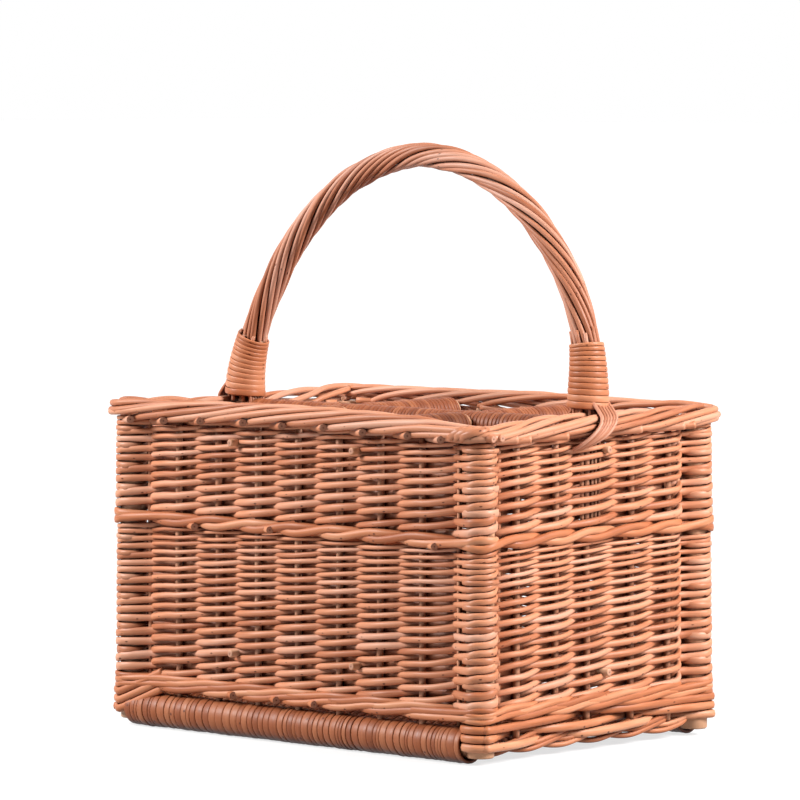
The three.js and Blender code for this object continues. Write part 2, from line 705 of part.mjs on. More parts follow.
// Bindings: split strip wound round the foot of each leg, and tails of rods over the border under them
const bindingStart = tailThickness + 2 * clearance + bindingStripWidth / 2;
const archLength = arch.getLength();
for (const [side, name] of [[-1, "left"], [1, "right"]]) {
  const across = new THREE.Vector3(0, 1, 0);
  const axisAt = (distance) => {
    const share = distance / archLength;
    const t = side < 0 ? share : 1 - share;
    const along = arch.getTangentAt(t).multiplyScalar(-side);
    const up = new THREE.Vector3().crossVectors(along, across);
    return { point: arch.getPointAt(t), along, across, up };
  };
  const strip = winding("handle_binding_" + name, axisAt, {
    loops: bindingLoops,
    start: bindingStart,
    pitch: bindingPitch,
    width: bindingStripWidth,
    innerRadius: (ropeDiameter / 2 + 2 * clearance) / flatShare,
    strip: bindingStrip,
  });
  place("handle_binding_" + name, strip, willow.strip);

  const lift = clearance + tailThickness / 2;
  const borderFace = postX + borderOut;
  const wallFace = postX + wallOut;
  const knee = borderRounding * Math.SQRT1_2;
  const steep = new THREE.Vector2(-tailSlant, -tailDrop).normalize();
  const slanted = new THREE.Vector3(0, -steep.y, steep.x);
  const route = [
    [borderFace - borderRounding, 0, rimHeight + lift, across, [0, 0, 1]],
    [borderFace - borderRounding + knee + lift, 0, rimHeight - borderRounding + knee + lift, across, [1, 0, 1]],
    [borderFace + lift, 0, rimHeight - borderRounding, across, [1, 0, 0]],
    [borderFace + lift, 0, borderBottom, across, [1, 0, 0]],
    [(borderFace + wallFace) / 2 + lift, -tailSlant / 2, borderBottom - tailDrop / 2, slanted, [1, 0, 0]],
    [wallFace + lift, -tailSlant, borderBottom - tailDrop, slanted, [1, 0, 0]],
  ];
  const frames = route.map(([x, y, z, wide, normal]) => ({
    point: new THREE.Vector3(side * x, y, z),
    side: wide.clone().multiplyScalar(side),
    out: new THREE.Vector3(side * normal[0], normal[1], normal[2]).normalize(),
  }));
  place("handle_tail_" + name, band(frames, tailWidth, tailThickness), willow.handle);
}

export default basket;
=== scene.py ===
# Bottle carrier basket of peeled willow, dressed over its frame of plain solids.
# The sections follow the making: base, posts, stakes, woven courses, dividers, border, handle.

import bpy
import numpy as np
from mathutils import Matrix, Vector


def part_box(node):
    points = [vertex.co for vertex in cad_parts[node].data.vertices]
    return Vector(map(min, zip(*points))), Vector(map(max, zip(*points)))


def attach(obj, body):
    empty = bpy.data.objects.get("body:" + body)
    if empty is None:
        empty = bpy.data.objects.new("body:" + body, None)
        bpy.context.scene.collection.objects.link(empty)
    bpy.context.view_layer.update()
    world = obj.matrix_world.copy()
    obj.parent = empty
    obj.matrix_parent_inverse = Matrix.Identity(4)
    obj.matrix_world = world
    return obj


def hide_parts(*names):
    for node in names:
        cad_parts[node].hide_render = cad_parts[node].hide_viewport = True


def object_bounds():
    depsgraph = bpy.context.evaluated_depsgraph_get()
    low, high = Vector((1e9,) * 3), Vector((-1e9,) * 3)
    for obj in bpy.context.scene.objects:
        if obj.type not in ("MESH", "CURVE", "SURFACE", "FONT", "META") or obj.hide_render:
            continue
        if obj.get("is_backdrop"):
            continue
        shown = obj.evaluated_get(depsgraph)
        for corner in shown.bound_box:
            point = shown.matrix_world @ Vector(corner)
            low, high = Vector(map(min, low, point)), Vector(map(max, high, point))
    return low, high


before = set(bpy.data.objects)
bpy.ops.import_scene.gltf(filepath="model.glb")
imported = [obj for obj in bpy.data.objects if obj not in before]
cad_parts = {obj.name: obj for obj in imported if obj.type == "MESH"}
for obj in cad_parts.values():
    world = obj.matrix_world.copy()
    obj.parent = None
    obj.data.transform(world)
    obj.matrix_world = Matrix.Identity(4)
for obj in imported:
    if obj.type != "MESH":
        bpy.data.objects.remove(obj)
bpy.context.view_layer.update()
mm = 0.001
chance = np.random.default_rng(11)


# Runners under the front and back walls
# Thick peeled sticks between the corner posts, each wound all along with split willow of uneven width.
# The basket stands on these two rolls.

def sweep(name, path, across, high=None, up=(0, 0, 1), sides=8, square=2.0, tone=None):
    """Closed rods or strips along centre lines, all in one mesh.

    path has the shape (rods, steps, 3). The section at a step is the superellipse
    |a / across|^square + |b / high|^square = 1, where b runs along up, turned square to the path, and a
    runs across both. Without high, it is as high as it is wide. Flat cut faces close the ends and take the
    second material. The UV map holds the metres along a rod and the share of the way round it, and on a
    cut face the place in the section. The attribute tone holds the shade of each step, 0 deep to 1 pale.
    """
    rods, steps, _ = path.shape
    along = np.gradient(path, axis=1)
    along /= np.linalg.norm(along, axis=2, keepdims=True)
    aside = np.cross(along, np.broadcast_to(up, path.shape))
    aside /= np.linalg.norm(aside, axis=2, keepdims=True)
    upright = np.cross(aside, along)

    high = across if high is None else high
    across, high, square = (np.broadcast_to(v, (rods, steps))[..., None] for v in (across, high, square))
    turn = 2 * np.pi * np.arange(sides) / sides
    a = across * np.sign(np.cos(turn)) * np.abs(np.cos(turn)) ** (2 / square)
    b = high * np.sign(np.sin(turn)) * np.abs(np.sin(turn)) ** (2 / square)
    surface = path[:, :, None] + aside[:, :, None] * a[..., None] + upright[:, :, None] * b[..., None]

    grid = np.arange(rods * steps * sides).reshape(rods, steps, sides)
    beside = np.roll(grid, -1, axis=2)
    quads = np.stack([grid[:, :-1], grid[:, 1:], beside[:, 1:], beside[:, :-1]], axis=-1).reshape(-1, 4)
    caps = np.concatenate([grid[:, 0], grid[:, -1, ::-1]])

    hops = np.linalg.norm(np.diff(path, axis=1), axis=2)
    length = np.concatenate([np.zeros((rods, 1)), np.cumsum(hops, axis=1)], axis=1)
    share = np.arange(sides) / sides
    here, there, share, beyond = np.broadcast_arrays(length[:, :-1, None], length[:, 1:, None],
                                                     share, share + 1 / sides)
    side_uv = np.stack([here, share, there, share, there, beyond, here, beyond], axis=-1)
    cut_uv = np.stack([a, b], axis=-1)
    all_uv = np.concatenate([side_uv.ravel(), cut_uv[:, 0].ravel(), cut_uv[:, -1, ::-1].ravel()])

    mesh = bpy.data.meshes.new(name)
    mesh.vertices.add(surface.size // 3)
    mesh.vertices.foreach_set("co", surface.astype(np.float32).ravel())
    mesh.loops.add(quads.size + caps.size)
    mesh.loops.foreach_set("vertex_index", np.concatenate([quads.ravel(), caps.ravel()]).astype(np.int32))
    sizes = np.repeat([4, sides], [len(quads), len(caps)])
    is_cap = np.arange(len(sizes)) >= len(quads)
    mesh.polygons.add(len(sizes))
    mesh.polygons.foreach_set("loop_start", (np.cumsum(sizes) - sizes).astype(np.int32))
    mesh.polygons.foreach_set("material_index", is_cap.astype(np.int32))
    mesh.polygons.foreach_set("use_smooth", ~is_cap)
    mesh.uv_layers.new(name="rod").data.foreach_set("uv", all_uv)
    if tone is None:
        tone = chance.uniform(0, 1, (rods, 1))
    shade = mesh.attributes.new("tone", "FLOAT", "POINT")
    shade.data.foreach_set("value", np.repeat(np.broadcast_to(tone, (rods, steps)), sides))
    mesh.update(calc_edges=True)
    piece = bpy.data.objects.new(name, mesh)
    bpy.context.collection.objects.link(piece)
    return piece


def dress(piece, skin, slot, *nodes, cut=None):
    """Gives a piece its skin and its cut wood, puts it on the root body and hides the solids that it stands
    for. The slot is not used.
    """
    piece.data.materials.append(skin)
    piece.data.materials.append(cut or cut_wood)
    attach(piece, "root")
    if nodes:
        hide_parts(*nodes)


def srgb(red, green, blue):
    """Colour of a screen value from 0 to 255, in linear light."""
    share = np.array([red, green, blue]) / 255
    linear = np.where(share <= 0.04045, share / 12.92, ((share + 0.055) / 1.055) ** 2.4)
    return (*linear, 1.0)


def principled(name):
    """A new material, its node tree and its main shader."""
    material = bpy.data.materials.new(name)
    material.use_nodes = True
    return material, material.node_tree, material.node_tree.nodes["Principled BSDF"]


def feed(tree, node, inputs):
    """Sets inputs of a node, each to a value or to what a socket or another node gives."""
    for key, value in inputs.items():
        if isinstance(value, bpy.types.Node):
            value = value.outputs[0]
        if isinstance(value, bpy.types.NodeSocket):
            tree.links.new(value, node.inputs[key])
        else:
            node.inputs[key].default_value = value


def add(tree, kind, inputs=None, **settings):
    """A shader node with its settings and its inputs."""
    node = tree.nodes.new("ShaderNode" + kind)
    for key, value in settings.items():
        setattr(node, key, value)
    feed(tree, node, inputs or {})
    return node


def maths(tree, operation, *terms):
    """The node of an operation on its terms."""
    return add(tree, "Math", dict(enumerate(terms)), operation=operation)


def scaled(tree, value, low, high, first=0.0, last=1.0):
    """The node that turns values from low to high evenly into values from first to last."""
    ends = {"From Min": low, "From Max": high, "To Min": first, "To Max": last}
    return add(tree, "MapRange", {"Value": value, **ends})


def blend(tree, share, under, over, way="MIX"):
    """The socket of one colour laid over another by a share."""
    colours = {0: share, 6: under, 7: over}
    return add(tree, "Mix", colours, data_type="RGBA", blend_type=way).outputs[2]


bud_brown = srgb(90, 36, 14)
# Painted shade: the dark red-brown that is multiplied into willow in the gaps between rods, where shade
# falls
painted_gap_shade = (0.11, 0.03, 0.01, 1.0)


def willow(name, deep, middle, pale, roughness=0.48, streaks=14, relief=0.25):
    """Peeled willow. The tone picks a colour from deep to pale, streaks run along the rod and shift it,
    dark specks mark old buds, a dark red-brown painted shade is multiplied into the colour where ambient
    occlusion finds the gaps between rods, and the streaks lift the surface a little."""
    material, tree, shader = principled(name)
    rod = add(tree, "UVMap", uv_map="rod")
    tone = add(tree, "Attribute", attribute_name="tone").outputs["Fac"]
    fibre_place = add(tree, "Mapping", {"Vector": rod, "Scale": (45, streaks, 1)})
    fibre = add(tree, "TexNoise", {"Vector": fibre_place, "Scale": 1.0, "Detail": 4.0})
    patch_place = add(tree, "Mapping", {"Vector": rod, "Scale": (28, 2, 1)})
    patch = add(tree, "TexNoise", {"Vector": patch_place, "W": tone, "Scale": 1.0, "Detail": 2.0},
                noise_dimensions="4D")
    shifted = maths(tree, "MULTIPLY_ADD", fibre, 0.7, tone)
    mixed = maths(tree, "MULTIPLY_ADD", patch, 0.9, shifted)
    ramp = add(tree, "ValToRGB", {"Fac": scaled(tree, mixed, 0.45, 2.1)})
    ramp.color_ramp.elements[0].color = srgb(*deep)
    ramp.color_ramp.elements[1].color = srgb(*pale)
    ramp.color_ramp.elements.new(0.5).color = srgb(*middle)

    bud_place = add(tree, "Mapping", {"Vector": rod, "Scale": (110, 3, 1)})
    bud = add(tree, "TexVoronoi", {"Vector": bud_place, "Scale": 1.0})
    near = scaled(tree, bud.outputs["Distance"], 0.07, 0.14, 1.0, 0.0)
    chosen = maths(tree, "GREATER_THAN", bud.outputs["Color"], 0.5)
    specked = blend(tree, maths(tree, "MULTIPLY", near, chosen), ramp, bud_brown)

    # Painted shade: ambient occlusion darkens the base colour in the gaps between rods
    gap = add(tree, "AmbientOcclusion", {"Distance": 0.01}, samples=6)
    painted_shade_share = scaled(tree, gap.outputs["AO"], 0.16, 0.56, 1.0, 0.0)
    painted_shade_colour = blend(tree, painted_shade_share, specked, painted_gap_shade, "MULTIPLY")
    worn = scaled(tree, fibre, 0.3, 0.7, roughness - 0.07, roughness + 0.09)
    bump = add(tree, "Bump", {"Height": fibre, "Strength": relief, "Distance": 0.0004})
    feed(tree, shader, {"Base Color": painted_shade_colour, "Roughness": worn, "Normal": bump, "Specular IOR Level": 0.32,
                        "Coat Weight": 0.06, "Coat Roughness": 0.3})
    return material


def sawn(name, pale, ring, pith):
    """Cut end of a rod: pale wood with faint rings about a dark pith, by the distance from the middle."""
    material, tree, shader = principled(name)
    place = add(tree, "UVMap", uv_map="rod")
    radius = add(tree, "VectorMath", {0: place}, operation="LENGTH").outputs["Value"]
    rough_cut = add(tree, "TexNoise", {"Vector": place, "Scale": 900.0, "Detail": 3.0})
    wave = maths(tree, "SINE", maths(tree, "MULTIPLY", radius, 5200.0))
    rings = maths(tree, "ADD", scaled(tree, wave, -1.0, 1.0, 0.0, 0.5), rough_cut)
    ringed = add(tree, "ValToRGB", {"Fac": rings})
    ringed.color_ramp.elements[0].color = srgb(*ring)
    ringed.color_ramp.elements[1].color = srgb(*pale)
    core = scaled(tree, radius, 0.0003, 0.0006, 1.0, 0.0)
    faced = blend(tree, core, ringed, srgb(*pith))
    bump = add(tree, "Bump", {"Height": rough_cut, "Strength": 0.5, "Distance": 0.0006})
    feed(tree, shader, {"Base Color": faced, "Roughness": 0.8, "Normal": bump})
    return material


def spaced(turn, shares):
    """Place and width of a wound strip where its turns take uneven shares of a length of 1."""
    shares = shares / shares.sum()
    count = np.arange(len(shares))
    return np.interp(turn, count, np.cumsum(shares) - shares / 2), np.interp(turn, count, shares)


def wound(name, start, end, radius, strip, turns, uneven, shades, square, eased):
    """A strip wound in one helix round a straight stick. Its turns take uneven shares of the length, each
    turn has its own tone and tilt, and the helix tightens by half a parabola over the eased start."""
    turn_steps = 22
    tightest = 0.22 * radius
    start, end = np.array(start), np.array(end)
    reach = np.linalg.norm(end - start)
    axis = (end - start) / reach
    level = np.cross((0, 0, 1), axis)
    count = np.arange(turns + 1)
    turn = np.linspace(0, turns, turns * turn_steps + 1)
    place, width = spaced(turn, 1 + uneven * chance.uniform(-1, 1, turns + 1))
    half_width = 0.485 * width * reach
    angle = 2 * np.pi * turn[:, None]
    radial = np.cos(angle) * level + np.sin(angle) * np.array((0, 0, 1))
    swell = np.interp(turn, count, chance.uniform(-0.12, 0.12, turns + 1) * strip)
    tight = tightest * np.clip(1 - place * reach / eased, 0, 1) ** 2
    ring = radius - tight + strip / 2 + swell
    path = start + place[:, None] * reach * axis + radial * ring[:, None]
    tone = chance.uniform(*shades, turns + 1)[np.floor(turn).astype(int)]
    tilt = np.interp(turn, count, chance.normal(0, 0.07, turns + 1))
    up = radial + tilt[:, None] * axis
    return sweep(name, path[None], half_width, strip / 2, up[None], sides=16, square=square, tone=tone)


def bar(name, start, end, radius, sides=20, bevel=0.6 * mm):
    """A straight stick with slightly eased ends."""
    start, end = np.array(start, float), np.array(end, float)
    reach = np.linalg.norm(end - start)
    share = np.array([0, bevel / reach, 0.25, 0.5, 0.75, 1 - bevel / reach, 1])
    size = radius - bevel * np.array([1, 0, 0, 0, 0, 0, 1])
    path = start + share[:, None] * (end - start)
    up = (1, 0, 0) if abs(end[2] - start[2]) > 0.5 * reach else (0, 0, 1)
    return sweep(name, path[None], size, up=up, sides=sides)


stick_wood = willow("peeled_stick", (190, 130, 92), (214, 158, 120), (232, 188, 156), 0.55)
cut_wood = sawn("sawn_willow", (233, 193, 163), (196, 142, 106), (120, 72, 46))
runner_skin = willow("runner_strips", (104, 44, 18), (156, 85, 48), (200, 130, 90), 0.5, streaks=26,
                     relief=0.4)
runner_turns = 62
runner_strip = 2.0 * mm
runner_radius = 12.4 * mm
wound_radius = runner_radius - runner_strip - 0.2 * mm
left_overhang = 9.5 * mm
right_overhang = 4.0 * mm
for side in ("front", "back"):
    low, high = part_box("runner_winding_" + side)
    y = (low.y + high.y) / 2
    start = (low.x - left_overhang, y, runner_radius)
    end = (high.x + right_overhang, y, runner_radius)
    stick = bar("runner_stick_" + side, start, end, 0.75 * wound_radius)
    dress(stick, stick_wood, "core", "runner_" + side)
    strips = wound("runner_strips_" + side, start, end, wound_radius, runner_strip, runner_turns,
                   uneven=0.65, shades=(0.25, 0.8), square=5.5, eased=9 * mm)
    dress(strips, runner_skin, "strip", "runner_winding_" + side)


# Base
# Peeled sticks lie along the length, and rods are woven across them, over one and under the next.
# The panel hangs between the two runners.

def points(x, y, z):
    """Points from three coordinates, each spread over the shape of the others."""
    return np.stack(np.broadcast_arrays(x, y, z), axis=-1)


base_low, base_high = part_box("base_panel")
base_skin = willow("base_rods", (140, 78, 48), (186, 120, 86), (222, 166, 132), 0.5)
base_z = (base_low.z + base_high.z) / 2
base_sticks = 7
base_stick_radius = 2.4 * mm
base_rod_radius = 1.7 * mm
base_rod_spacing = 2.12 * base_rod_radius
stick_inset = 9 * mm
stick_y = np.linspace(base_low.y + stick_inset, base_high.y - stick_inset, base_sticks)
stick_paths = points(np.linspace(base_low.x, base_high.x, 12), stick_y[:, None], base_z)
base_frame = sweep("base_sticks", stick_paths, base_stick_radius, sides=10)
dress(base_frame, stick_wood, "core")
rod_x = np.arange(base_low.x + base_rod_radius, base_high.x, base_rod_spacing)
rod_y = np.linspace(base_low.y, base_high.y, 8 * base_sticks + 1)
phase = np.pi * (rod_y - stick_y[0]) / (stick_y[1] - stick_y[0])
wave = np.cos(phase) * np.where(np.arange(len(rod_x)) % 2, 1, -1)[:, None]
rod_z = base_z + wave * (base_stick_radius + 0.8 * base_rod_radius)
base_weave = sweep("base_rods", points(rod_x[:, None], rod_y, rod_z), base_rod_radius, sides=6)
dress(base_weave, base_skin, "siding", "base_panel")


# Base edges under the end walls
# Pairs of peeled rods come out of the base, loop under its edge in scallops and climb back into it. They
# close the two ends of the weave, which have no runner.

def through(knots, steps):
    """Smooth curve through knots, which lie along the second last axis: the Catmull-Rom cubic."""
    knots = np.asarray(knots, float)
    before = 2 * knots[..., :1, :] - knots[..., 1:2, :]
    after = 2 * knots[..., -1:, :] - knots[..., -2:-1, :]
    padded = np.concatenate([before, knots, after], axis=-2)
    share = np.linspace(0, knots.shape[-2] - 1, steps)
    knot = np.minimum(share.astype(int), knots.shape[-2] - 2)
    f = (share - knot)[:, None]
    a, b, c, d = (padded[..., knot + k, :] for k in range(4))
    return b + 0.5 * f * (c - a + f * (2 * a - 5 * b + 4 * c - d + f * (3 * (b - c) + d - a)))


edge_skin = willow("edge_rods", (146, 76, 42), (194, 118, 78), (224, 160, 122))
edge_rod = 2.0 * mm
edge_out = 1 * mm
scallops = 5
first_scallop = 0.6
# The second rod of a pair, ahead in scallop widths and up
second_ahead = 0.12
second_up = 4.0 * mm
# Along the wall in scallop widths, outwards and up in millimetres
loop = np.array([[-0.4, -6, 7], [-0.1, -2, 1.5], [0.35, 2.5, 0],
                 [0.85, 4.0, 3], [1.4, 2.5, 7], [1.9, -2, 10]])
for side, name in ((1, "right"), (-1, "left")):
    low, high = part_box("base_edge_" + name)
    scallop = (high.y - low.y - 4 * edge_rod) / (scallops + first_scallop)
    starts = low.y + edge_rod + scallop * (np.arange(-1, scallops) + first_scallop)
    starts = np.repeat(starts, 2)[:, None]
    second = np.arange(len(starts))[:, None] % 2
    x = side * (abs(low.x + high.x) / 2 + edge_out + loop[:, 1] * mm)
    y = side * (starts + (loop[:, 0] + second_ahead * second) * scallop)
    y = np.clip(y, low.y + edge_rod, high.y - edge_rod)
    z = low.z + edge_rod + loop[:, 2] * mm + second_up * second
    edge = sweep("base_loops_" + name, through(points(x, y, z), 40), edge_rod)
    dress(edge, edge_skin, "wale", "base_edge_" + name)


# Corner posts
# Round peeled sticks, sawn square at the foot. The rods of the walls wrap round them and hold them, so
# only the feet show.

corner_names = ("front_left", "front_right", "back_right", "back_left")
post_wood = willow("post_wood", (206, 146, 108), (224, 172, 136), (238, 198, 168), 0.6, streaks=30)
post_place = np.array([np.mean(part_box("corner_post_" + corner), axis=0)[:2] for corner in corner_names])
for corner, (x, y) in zip(corner_names, post_place):
    low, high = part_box("corner_post_" + corner)
    post_radius = (high.x - low.x) / 2
    post = bar("post_" + corner, (x, y, low.z), (x, y, high.z), post_radius, sides=28, bevel=0.9 * mm)
    dress(post, post_wood, "post", "corner_post_" + corner)


# Stakes
# Upright rods that the walls are woven round: seven on a long wall, five on an end, and a thin one on
# either side of each post. Each bows a little.

wall_stakes = (
    [f"stake_front_{k}" for k in range(1, 8)],
    [f"stake_right_{k}" for k in range(1, 6)],
    [f"stake_back_{k}" for k in range(7, 0, -1)],
    [f"stake_left_{k}" for k in range(5, 0, -1)],
)
stake_place = [np.array([np.mean(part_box(name), axis=0)[:2] for name in wall]) for wall in wall_stakes]
stake_low, stake_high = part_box("stake_front_1")
stake_radius = 2.5 * mm
thin_radius = 1.7 * mm
stake_below = 8 * mm
heading = np.array([(1, 0), (0, 1), (-1, 0), (0, -1)], float)
outward = np.stack([heading[:, 1], -heading[:, 0]], axis=1)
beside_post = 18 * mm
# Outwards of the post's middle, on the long walls and on the end walls
beside_out = (0.9 * mm, -0.1 * mm)
thin_place = np.array([
    post_place[(k + far) % 4] + (1 - 2 * far) * beside_post * heading[k] + beside_out[k % 2] * outward[k]
    for k in range(4) for far in (0, 1)
])


def uprights(name, places, radius, bottom, top):
    """Upright rods at places in plan, each bowed by half a sine and a full sine of small random height."""
    rise = np.linspace(0, 1, 14)
    bow = chance.normal(0, 0.35 * mm, (len(places), 2, 1)) * np.sin(np.pi * rise)
    bow = bow + chance.normal(0, 0.2 * mm, (len(places), 2, 1)) * np.sin(2 * np.pi * rise)
    x, y = (places[:, :, None] + bow).transpose(1, 0, 2)
    return sweep(name, points(x, y, bottom + (top - bottom) * rise), radius, up=(1, 0, 0))


stake_skin = willow("stake_rods", (162, 98, 66), (206, 146, 112), (230, 182, 152), 0.5)
all_stakes = uprights("stakes", np.concatenate(stake_place), stake_radius, stake_low.z - stake_below,
                      stake_high.z)
dress(all_stakes, stake_skin, "stake", *sum(wall_stakes, []))
thin_stakes = uprights("thin_stakes", thin_place, thin_radius, stake_low.z, stake_high.z)
dress(thin_stakes, stake_skin, "stake")


# Lower and upper siding
# One rod starts behind each stake and each post. Every rod goes in front of one stake and behind the
# next, climbs as it goes round, and thins from butt to tip, so all the rods lean up to the right. Round
# the outside of a post a rod lies flat, and short wraps fill the space that the inner strokes leave.

is_post = np.concatenate([[True] + [False] * len(wall) for wall in wall_stakes])
wall_of = np.cumsum(is_post) - 1
station = np.concatenate([np.vstack([post_place[k], stake_place[k]]) for k in range(4)])
stations = len(station)
stroke_steps = 10
wrap_gap = 0.1 * mm
handle_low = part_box("handle_bow")[0]
bow_radius = 4 * mm
half_span = -handle_low.x - bow_radius


def ease(share):
    """Smooth step from 0 to 1."""
    share = np.clip(share, 0, 1)
    return share * share * (3 - 2 * share)


def running(steps):
    """Running sum from 0."""
    return np.concatenate([[0], np.cumsum(steps)])


def to_post(begin, ahead, out, post, outside, strip, rod):
    """Plan of the stroke from a stake to the middle of a post's corner, and how flat the rod lies there.

    Outside, it eases out to the tangent of the wrap and follows its circle for an eighth of a turn.
    Inside, it is the Hermite cubic to a point on the inner diagonal.
    """
    s = np.linspace(0, 1, stroke_steps + 1)[:, None]
    if outside:
        radius = post_radius + wrap_gap + strip / 2
        # Shares of the stroke where it flattens, is flat and bends, and of its line where it dives outwards
        flattens, is_flat, bend, dive = 0.34, 0.52, 0.6, 0.42
        first = np.clip(s / bend, 0, 1)
        reach = (post - begin) @ ahead
        rise = (post - begin) @ out + radius
        line = begin + first * reach * ahead + ease((first - dive) / (1 - dive)) * rise * out
        angle = np.clip((s - bend) / (1 - bend), 0, 1) * np.pi / 4
        circle = post + radius * (np.cos(angle) * out + np.sin(angle) * ahead)
        return np.where(s < bend, line, circle), ease((s[:, 0] - flattens) / (is_flat - flattens))
    inner_gap = 0.6 * mm
    finish = post - (post_radius + inner_gap + rod) * (out + ahead) / np.sqrt(2)
    pull = 1.1 * np.linalg.norm(finish - begin)
    leave, arrive = pull * ahead, pull * (ahead - out) / np.sqrt(2)
    curve = (begin * (1 + 2 * s) * (1 - s) ** 2 + leave * s * (1 - s) ** 2
             + finish * s * s * (3 - 2 * s) + arrive * s * s * (s - 1))
    return curve, np.zeros(stroke_steps + 1)


def strokes(rod, strip, place, inner):
    """Plans of every stroke, indexed by the side at its start (0 in, 1 out), the side at its end and its
    station, with the flatness along each. Between two stakes the rod swings as half a cosine."""
    plan = np.empty((2, 2, stations, stroke_steps, 2))
    flat = np.zeros((2, 2, stations, stroke_steps))
    share = np.linspace(0, 1, stroke_steps, endpoint=False)[:, None]
    swing = (1 - np.cos(np.pi * share)) / 2
    off = stake_radius + rod
    for k in range(stations):
        after = (k + 1) % stations
        ahead, out = heading[wall_of[k]], outward[wall_of[k]]
        for a in (0, 1):
            for b in (0, 1):
                begin = place[k] + out * (off if a else -off - inner[k])
                end = place[after] + out * (off if b else -off - inner[after])
                if is_post[after]:
                    line, lie = to_post(begin, ahead, out, place[after], b, strip, rod)
                    plan[a, b, k], flat[a, b, k] = line[:-1], lie[:-1]
                elif is_post[k]:
                    line, lie = to_post(end, -ahead, out, place[k], a, strip, rod)
                    plan[a, b, k], flat[a, b, k] = line[:0:-1], lie[:0:-1]
                else:
                    line = begin + ((end - begin) @ ahead) * share * ahead
                    plan[a, b, k] = line + swing * ((end - begin) @ out) * out
    return plan, flat


def wraps(name, heights, sizes, strip, shade):
    """Short flat wraps round each post at the given heights: arcs that end on its inner side."""
    angle = np.radians(np.linspace(-166, 166, 44))
    radius = post_radius + wrap_gap + strip / 2
    paths = []
    for k, (x, y) in enumerate(post_place):
        diagonal = np.arctan2(*(outward[k - 1] + outward[k])[::-1])
        turn = diagonal + angle + np.radians(chance.uniform(-9, 9, (len(heights), 1)))
        z = heights[:, None] + chance.normal(0, 0.35 * mm, (len(heights), 1)) * np.sin(angle)
        paths.append(points(x + radius * np.cos(turn), y + radius * np.sin(turn), z))
    tone = np.clip(chance.normal(shade, 0.25, (4 * len(heights), 1)), 0, 1)
    high = np.tile(sizes, 4)[:, None]
    return sweep(name, np.concatenate(paths), strip / 2, high, square=3.0, tone=tone)


def siding(name, bottom, top, steps, butt, tip, short_wraps, place, inner):
    """A course of climbing rods between two heights, and the short wraps of its posts.

    A rod's height at its stations is the running sum of a pitch that shrinks evenly from butt to tip.
    At a post the outer strokes and the short wraps share the height in slots that shrink the same way.
    """
    count = np.arange(steps + 1)
    height = running(np.linspace(butt, tip, steps)) - butt
    height = bottom + butt / 2 + height * (top - bottom - (butt + tip) / 2) / height[-2]
    outer = np.arange(1, steps, 2)
    slots = len(outer) + short_wraps
    taken = np.round(np.linspace(0, slots - 1, len(outer))).astype(int)
    slot_edge = running(np.linspace(butt, tip, slots))
    slot_edge = bottom + (top - bottom) * slot_edge / slot_edge[-1]
    slot_height = (slot_edge[1:] + slot_edge[:-1]) / 2
    slot_half = np.diff(slot_edge) / 2

    rod = np.linspace(butt, tip, steps + 1) / 2
    flatness = 0.775
    strip = 2 * flatness * rod
    thick_plan, flat = strokes(butt / 2, strip[0], place, inner)
    thin_plan, _ = strokes(tip / 2, strip[-1], place, inner)
    first = np.arange(stations)[:, None]
    spot = (first + count) % stations
    where = spot[:, :-1]
    side = np.broadcast_to(count[:-1] % 2, where.shape)
    shape = (stations, steps * stroke_steps)
    share = (np.arange(shape[1]) / shape[1])[:, None]
    thick, thin = (plan[side, 1 - side, where].reshape(*shape, 2) for plan in (thick_plan, thin_plan))
    plan = thick + share * (thin - thick)
    lie = flat[side, 1 - side, where].reshape(shape)

    level = height + chance.normal(0, 0.4 * mm, spot.shape)
    at_slot = np.interp(count, outer, slot_height[taken])
    level = np.where(is_post[spot] & (count % 2 == 1), at_slot, level)
    within = np.linspace(0, 1, stroke_steps, endpoint=False)
    by_post = (is_post[where] | is_post[spot[:, 1:]])[..., None]
    lift = np.where(by_post, ease(within), within)
    z = (level[:, :-1, None] + np.diff(level, axis=1)[..., None] * lift).reshape(shape)
    path = np.concatenate([plan, z[..., None]], axis=-1)

    fine = np.linspace(0, steps, shape[1])
    radius = np.interp(fine, count, rod) * chance.uniform(0.85, 1.1, (stations, 1))
    slot_half = 0.97 * slot_half
    slot_size = np.interp(fine, outer, slot_half[taken])
    inside = np.cos(np.pi * fine).clip(0)
    across = radius * (1 - lie) + flatness * radius * lie
    high = radius * (1.12 + 0.5 * inside) * (1 - lie) + slot_size * lie
    tone = np.clip(chance.normal(0.47, 0.23, (stations, 1)) + 0.14 * np.sin(fine / 3.1 + first), 0, 1)
    rods = sweep(name + "_rods", path, across, high, square=2 + 1.2 * lie, tone=tone)
    free = np.setdiff1d(np.arange(slots), taken)
    short = wraps(name + "_wraps", slot_height[free], slot_half[free], np.mean(strip), shade=0.55)
    return rods, short


siding_skin = willow("siding_rods", (160, 83, 45), (216, 144, 106), (223, 174, 151))
wrap_skin = willow("wrap_strips", (156, 84, 50), (200, 130, 94), (228, 176, 148), 0.42)
siding_butt = 4.9 * mm
plain_wall = np.zeros(stations)
bottom_wale_low = 2 * runner_radius
bottom_wale_top = bottom_wale_low + 16.5 * mm
middle_wale_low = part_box("middle_wale")[0].z - 1 * mm
middle_wale_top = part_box("middle_wale")[1].z + 1 * mm
behind_wale = 3.0 * mm
rods, short = siding("lower_siding", bottom_wale_top - behind_wale, middle_wale_low, steps=32,
                     butt=siding_butt, tip=2.6 * mm, short_wraps=6, place=station, inner=plain_wall)
dress(rods, siding_skin, "siding", "lower_siding")
dress(short, wrap_skin, "siding")

